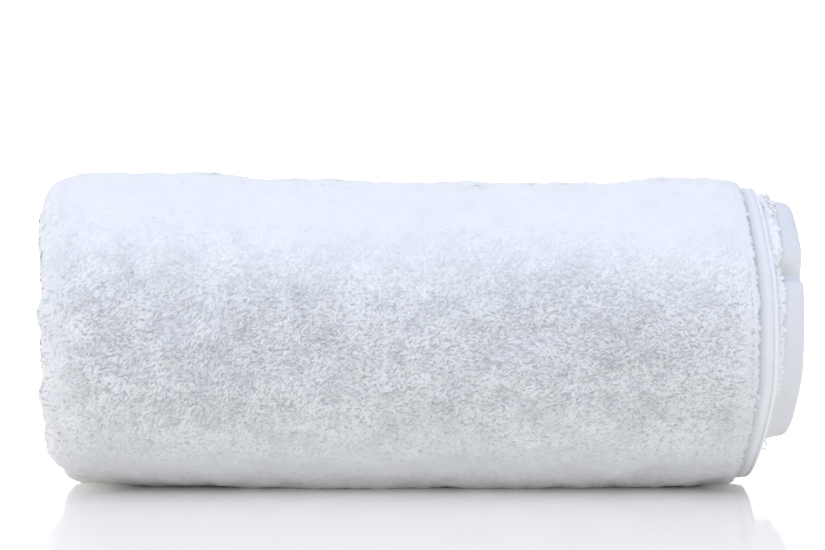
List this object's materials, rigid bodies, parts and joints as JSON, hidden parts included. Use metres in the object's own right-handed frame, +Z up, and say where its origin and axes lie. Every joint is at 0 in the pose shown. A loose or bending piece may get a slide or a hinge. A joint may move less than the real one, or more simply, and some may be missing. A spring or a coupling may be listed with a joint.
{
  "type": "rolled bath towel",
  "caption": "White cotton terry bath towel, folded in half along its length and rolled up, lying on its side with its hems at one end.",
  "frame": {"origin": "centre of the towel's box at the height of the surface it lies on", "axes": "+X along the roll towards the hems, +Y to the back, +Z up"},
  "size_m": [0.3608, 0.1604, 0.1512],
  "materials": {
    "cotton terry": "looped pile, matte"
  },
  "bodies": {
    "root": {"towel": "cotton terry"}
  },
  "joints": []
}
